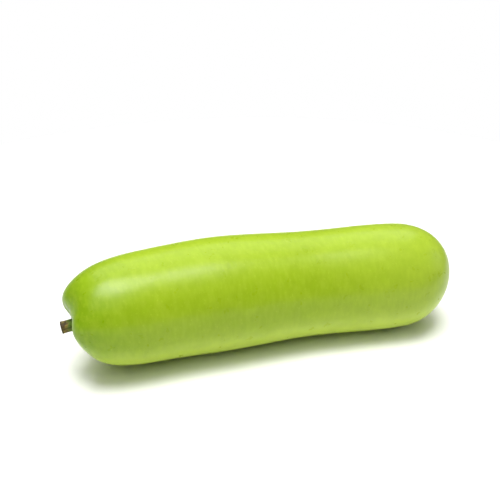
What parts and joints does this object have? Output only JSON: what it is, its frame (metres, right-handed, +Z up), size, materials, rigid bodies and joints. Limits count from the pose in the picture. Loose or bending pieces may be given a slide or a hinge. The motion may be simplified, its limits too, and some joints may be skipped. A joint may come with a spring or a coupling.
{
  "type": "bottle gourd",
  "caption": "Long cylindrical bottle gourd with smooth green skin, lying on its side, with blunt rounded ends and the cut stub of its stalk.",
  "frame": {"origin": "on the surface the gourd lies on, under the middle of its bounding box", "axes": "+X runs from the stalk end to the blossom end, +Y is the side towards which the gourd bows, +Z is up"},
  "size_m": [0.2918, 0.09, 0.0831],
  "materials": {
    "gourd_skin": "satin",
    "cut_stalk": "matte"
  },
  "bodies": {
    "root": {"fruit": "gourd_skin", "stem": "cut_stalk"}
  },
  "joints": []
}
